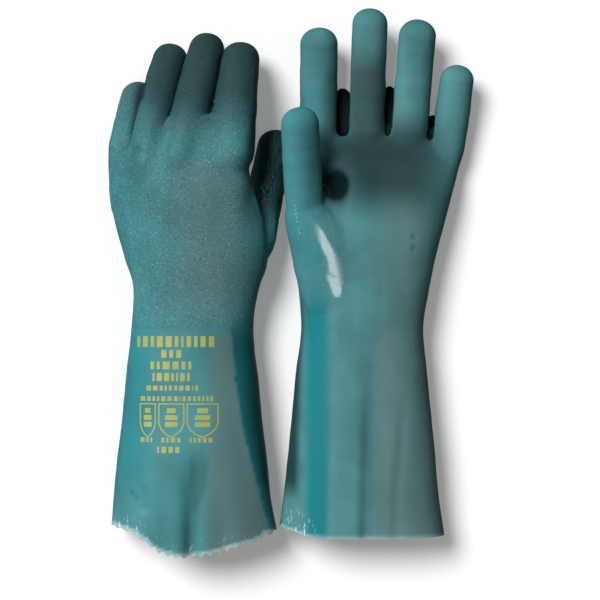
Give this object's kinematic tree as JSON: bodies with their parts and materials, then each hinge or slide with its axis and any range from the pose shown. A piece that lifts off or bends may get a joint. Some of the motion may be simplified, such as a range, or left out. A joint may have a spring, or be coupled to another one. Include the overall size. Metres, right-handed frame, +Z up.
{
  "type": "pair of gauntlet gloves",
  "caption": "Pair of long rubber-coated beekeeping gloves over knitted liners, one lying palm down and one palm up, with digits that bend.",
  "frame": {"origin": "on the table under the middle of the pair's box", "axes": "+Y towards the fingertips, +Z up from the table, +X to the right of the palm-down glove"},
  "size_m": [0.2734, 0.4054, 0.0802],
  "materials": {
    "palmdown_hand_coat": "sanded grip dip",
    "palmdown_hand_liner": "undyed cotton knit",
    "palmdown_index_base_coat": "sanded grip dip",
    "palmdown_index_base_liner": "undyed cotton knit",
    "palmdown_index_tip_coat": "sanded grip dip",
    "palmdown_index_tip_liner": "undyed cotton knit",
    "palmdown_little_base_coat": "sanded grip dip",
    "palmdown_little_base_liner": "undyed cotton knit",
    "palmdown_little_tip_coat": "sanded grip dip",
    "palmdown_little_tip_liner": "undyed cotton knit",
    "palmdown_middle_base_coat": "sanded grip dip",
    "palmdown_middle_base_liner": "undyed cotton knit",
    "palmdown_middle_tip_coat": "sanded grip dip",
    "palmdown_middle_tip_liner": "undyed cotton knit",
    "palmdown_ring_base_coat": "sanded grip dip",
    "palmdown_ring_base_liner": "undyed cotton knit",
    "palmdown_ring_tip_coat": "sanded grip dip",
    "palmdown_ring_tip_liner": "undyed cotton knit",
    "palmdown_sleeve_coat": "smooth satin dipped coat",
    "palmdown_sleeve_liner": "undyed cotton knit",
    "palmdown_thumb_base_coat": "sanded grip dip",
    "palmdown_thumb_base_liner": "undyed cotton knit",
    "palmdown_thumb_tip_coat": "sanded grip dip",
    "palmdown_thumb_tip_liner": "undyed cotton knit",
    "palmup_hand_coat": "smooth to lightly sanded dip",
    "palmup_hand_liner": "undyed cotton knit",
    "palmup_index_base_coat": "smooth to lightly sanded dip",
    "palmup_index_base_liner": "undyed cotton knit",
    "palmup_index_tip_coat": "smooth to lightly sanded dip",
    "palmup_index_tip_liner": "undyed cotton knit",
    "palmup_little_base_coat": "smooth to lightly sanded dip",
    "palmup_little_base_liner": "undyed cotton knit",
    "palmup_little_tip_coat": "smooth to lightly sanded dip",
    "palmup_little_tip_liner": "undyed cotton knit",
    "palmup_middle_base_coat": "smooth to lightly sanded dip",
    "palmup_middle_base_liner": "undyed cotton knit",
    "palmup_middle_tip_coat": "smooth to lightly sanded dip",
    "palmup_middle_tip_liner": "undyed cotton knit",
    "palmup_ring_base_coat": "smooth to lightly sanded dip",
    "palmup_ring_base_liner": "undyed cotton knit",
    "palmup_ring_tip_coat": "smooth to lightly sanded dip",
    "palmup_ring_tip_liner": "undyed cotton knit",
    "palmup_sleeve_coat": "smooth satin dipped coat",
    "palmup_sleeve_liner": "undyed cotton knit",
    "palmup_thumb_base_coat": "smooth to lightly sanded dip",
    "palmup_thumb_base_liner": "undyed cotton knit",
    "palmup_thumb_tip_coat": "smooth to lightly sanded dip",
    "palmup_thumb_tip_liner": "undyed cotton knit"
  },
  "bodies": {
    "palmdown_sleeve": {"palmdown_sleeve_coat": "palmdown_sleeve_coat", "palmdown_sleeve_liner": "palmdown_sleeve_liner"},
    "palmdown_hand": {"palmdown_hand_coat": "palmdown_hand_coat", "palmdown_hand_liner": "palmdown_hand_liner"},
    "palmdown_index_base": {"palmdown_index_base_coat": "palmdown_index_base_coat", "palmdown_index_base_liner": "palmdown_index_base_liner"},
    "palmdown_index_tip": {"palmdown_index_tip_coat": "palmdown_index_tip_coat", "palmdown_index_tip_liner": "palmdown_index_tip_liner"},
    "palmdown_middle_base": {"palmdown_middle_base_coat": "palmdown_middle_base_coat", "palmdown_middle_base_liner": "palmdown_middle_base_liner"},
    "palmdown_middle_tip": {"palmdown_middle_tip_coat": "palmdown_middle_tip_coat", "palmdown_middle_tip_liner": "palmdown_middle_tip_liner"},
    "palmdown_ring_base": {"palmdown_ring_base_coat": "palmdown_ring_base_coat", "palmdown_ring_base_liner": "palmdown_ring_base_liner"},
    "palmdown_ring_tip": {"palmdown_ring_tip_coat": "palmdown_ring_tip_coat", "palmdown_ring_tip_liner": "palmdown_ring_tip_liner"},
    "palmdown_little_base": {"palmdown_little_base_coat": "palmdown_little_base_coat", "palmdown_little_base_liner": "palmdown_little_base_liner"},
    "palmdown_little_tip": {"palmdown_little_tip_coat": "palmdown_little_tip_coat", "palmdown_little_tip_liner": "palmdown_little_tip_liner"},
    "palmdown_thumb_base": {"palmdown_thumb_base_coat": "palmdown_thumb_base_coat", "palmdown_thumb_base_liner": "palmdown_thumb_base_liner"},
    "palmdown_thumb_tip": {"palmdown_thumb_tip_coat": "palmdown_thumb_tip_coat", "palmdown_thumb_tip_liner": "palmdown_thumb_tip_liner"},
    "palmup_sleeve": {"palmup_sleeve_coat": "palmup_sleeve_coat", "palmup_sleeve_liner": "palmup_sleeve_liner"},
    "palmup_hand": {"palmup_hand_coat": "palmup_hand_coat", "palmup_hand_liner": "palmup_hand_liner"},
    "palmup_index_base": {"palmup_index_base_coat": "palmup_index_base_coat", "palmup_index_base_liner": "palmup_index_base_liner"},
    "palmup_index_tip": {"palmup_index_tip_coat": "palmup_index_tip_coat", "palmup_index_tip_liner": "palmup_index_tip_liner"},
    "palmup_middle_base": {"palmup_middle_base_coat": "palmup_middle_base_coat", "palmup_middle_base_liner": "palmup_middle_base_liner"},
    "palmup_middle_tip": {"palmup_middle_tip_coat": "palmup_middle_tip_coat", "palmup_middle_tip_liner": "palmup_middle_tip_liner"},
    "palmup_ring_base": {"palmup_ring_base_coat": "palmup_ring_base_coat", "palmup_ring_base_liner": "palmup_ring_base_liner"},
    "palmup_ring_tip": {"palmup_ring_tip_coat": "palmup_ring_tip_coat", "palmup_ring_tip_liner": "palmup_ring_tip_liner"},
    "palmup_little_base": {"palmup_little_base_coat": "palmup_little_base_coat", "palmup_little_base_liner": "palmup_little_base_liner"},
    "palmup_little_tip": {"palmup_little_tip_coat": "palmup_little_tip_coat", "palmup_little_tip_liner": "palmup_little_tip_liner"},
    "palmup_thumb_base": {"palmup_thumb_base_coat": "palmup_thumb_base_coat", "palmup_thumb_base_liner": "palmup_thumb_base_liner"},
    "palmup_thumb_tip": {"palmup_thumb_tip_coat": "palmup_thumb_tip_coat", "palmup_thumb_tip_liner": "palmup_thumb_tip_liner"}
  },
  "joints": [
    {"name": "palmup_lift", "type": "slide", "parent": "palmdown_sleeve", "child": "palmup_sleeve", "axis": [0, 0, 1], "range_m": [0, 0.3]},
    {"name": "palmdown_wrist", "type": "hinge", "parent": "palmdown_sleeve", "child": "palmdown_hand", "pos_m": [-0.07112, -0.03727, 0.0275], "axis": [-1, 0, 0], "range_deg": [-10, 25], "stiffness_Nm_per_rad": 1.2},
    {"name": "palmdown_index_base", "type": "hinge", "parent": "palmdown_hand", "child": "palmdown_index_base", "pos_m": [-0.03785, 0.13303, 0.05238], "axis": [-0.9981, 0.061, 0], "range_deg": [-12, 40], "stiffness_Nm_per_rad": 0.1},
    {"name": "palmdown_index_tip", "type": "hinge", "parent": "palmdown_index_base", "child": "palmdown_index_tip", "pos_m": [-0.0365, 0.15513, 0.03544], "axis": [-0.9981, 0.061, 0], "range_deg": [-5, 45], "stiffness_Nm_per_rad": 0.06},
    {"name": "palmdown_middle_base", "type": "hinge", "parent": "palmdown_hand", "child": "palmdown_middle_base", "pos_m": [-0.06931, 0.13178, 0.0513], "axis": [-0.9848, 0.1736, 0], "range_deg": [-12, 40], "stiffness_Nm_per_rad": 0.1},
    {"name": "palmdown_middle_tip", "type": "hinge", "parent": "palmdown_middle_base", "child": "palmdown_middle_tip", "pos_m": [-0.0648, 0.15733, 0.03456], "axis": [-0.9848, 0.1736, 0], "range_deg": [-5, 45], "stiffness_Nm_per_rad": 0.06},
    {"name": "palmdown_ring_base", "type": "hinge", "parent": "palmdown_hand", "child": "palmdown_ring_base", "pos_m": [-0.09713, 0.12455, 0.04529], "axis": [-0.9833, 0.1822, 0], "range_deg": [-12, 40], "stiffness_Nm_per_rad": 0.1},
    {"name": "palmdown_ring_tip", "type": "hinge", "parent": "palmdown_ring_base", "child": "palmdown_ring_tip", "pos_m": [-0.09296, 0.14708, 0.03113], "axis": [-0.9833, 0.1822, 0], "range_deg": [-5, 45], "stiffness_Nm_per_rad": 0.06},
    {"name": "palmdown_little_base", "type": "hinge", "parent": "palmdown_hand", "child": "palmdown_little_base", "pos_m": [-0.1212, 0.10998, 0.03226], "axis": [-0.9962, 0.0872, 0], "range_deg": [-12, 40], "stiffness_Nm_per_rad": 0.1},
    {"name": "palmdown_little_tip", "type": "hinge", "parent": "palmdown_little_base", "child": "palmdown_little_tip", "pos_m": [-0.11984, 0.12557, 0.02341], "axis": [-0.9962, 0.0872, 0], "range_deg": [-5, 45], "stiffness_Nm_per_rad": 0.06},
    {"name": "palmdown_thumb_base", "type": "hinge", "parent": "palmdown_hand", "child": "palmdown_thumb_base", "pos_m": [-0.01642, 0.06232, 0.02131], "axis": [-0.8242, 0.0413, -0.5649], "range_deg": [-6, 20], "stiffness_Nm_per_rad": 0.15},
    {"name": "palmdown_thumb_tip", "type": "hinge", "parent": "palmdown_thumb_base", "child": "palmdown_thumb_tip", "pos_m": [-0.01162, 0.08522, 0.01597], "axis": [-0.8242, 0.0413, -0.5649], "range_deg": [-5, 35], "stiffness_Nm_per_rad": 0.08},
    {"name": "palmup_wrist", "type": "hinge", "parent": "palmup_sleeve", "child": "palmup_hand", "pos_m": [0.05548, -0.03727, 0.0275], "axis": [1, 0, 0], "range_deg": [0, 25], "stiffness_Nm_per_rad": 1.2},
    {"name": "palmup_index_base", "type": "hinge", "parent": "palmup_hand", "child": "palmup_index_base", "pos_m": [0.0233, 0.14872, 0.02525], "axis": [1, -0.007, 0], "range_deg": [-12, 40], "stiffness_Nm_per_rad": 0.1},
    {"name": "palmup_index_tip", "type": "hinge", "parent": "palmup_index_base", "child": "palmup_index_tip", "pos_m": [0.02343, 0.16817, 0.02988], "axis": [1, -0.007, 0], "range_deg": [-5, 45], "stiffness_Nm_per_rad": 0.06},
    {"name": "palmup_middle_base", "type": "hinge", "parent": "palmup_hand", "child": "palmup_middle_base", "pos_m": [0.05989, 0.15078, 0.02486], "axis": [0.9997, -0.0244, 0], "range_deg": [-12, 40], "stiffness_Nm_per_rad": 0.1},
    {"name": "palmup_middle_tip", "type": "hinge", "parent": "palmup_middle_base", "child": "palmup_middle_tip", "pos_m": [0.06047, 0.17422, 0.02996], "axis": [0.9997, -0.0244, 0], "range_deg": [-5, 45], "stiffness_Nm_per_rad": 0.06},
    {"name": "palmup_ring_base", "type": "hinge", "parent": "palmup_hand", "child": "palmup_ring_base", "pos_m": [0.09365, 0.15054, 0.02525], "axis": [0.9968, -0.0802, 0], "range_deg": [-12, 40], "stiffness_Nm_per_rad": 0.1},
    {"name": "palmup_ring_tip", "type": "hinge", "parent": "palmup_ring_base", "child": "palmup_ring_tip", "pos_m": [0.09533, 0.17142, 0.03007], "axis": [0.9968, -0.0802, 0], "range_deg": [-5, 45], "stiffness_Nm_per_rad": 0.06},
    {"name": "palmup_little_base", "type": "hinge", "parent": "palmup_hand", "child": "palmup_little_base", "pos_m": [0.12288, 0.12702, 0.02278], "axis": [0.9936, -0.1132, 0], "range_deg": [-12, 40], "stiffness_Nm_per_rad": 0.1},
    {"name": "palmup_little_tip", "type": "hinge", "parent": "palmup_little_base", "child": "palmup_little_tip", "pos_m": [0.12481, 0.14394, 0.02679], "axis": [0.9936, -0.1132, 0], "range_deg": [-5, 45], "stiffness_Nm_per_rad": 0.06},
    {"name": "palmup_thumb_base", "type": "hinge", "parent": "palmup_hand", "child": "palmup_thumb_base", "pos_m": [0.01175, 0.06911, 0.05052], "axis": [0.7858, 0.2748, -0.554], "range_deg": [-6, 20], "stiffness_Nm_per_rad": 0.15},
    {"name": "palmup_thumb_tip", "type": "hinge", "parent": "palmup_thumb_base", "child": "palmup_thumb_tip", "pos_m": [0.00997, 0.09506, 0.06087], "axis": [0.7858, 0.2748, -0.554], "range_deg": [-5, 35], "stiffness_Nm_per_rad": 0.08}
  ]
}
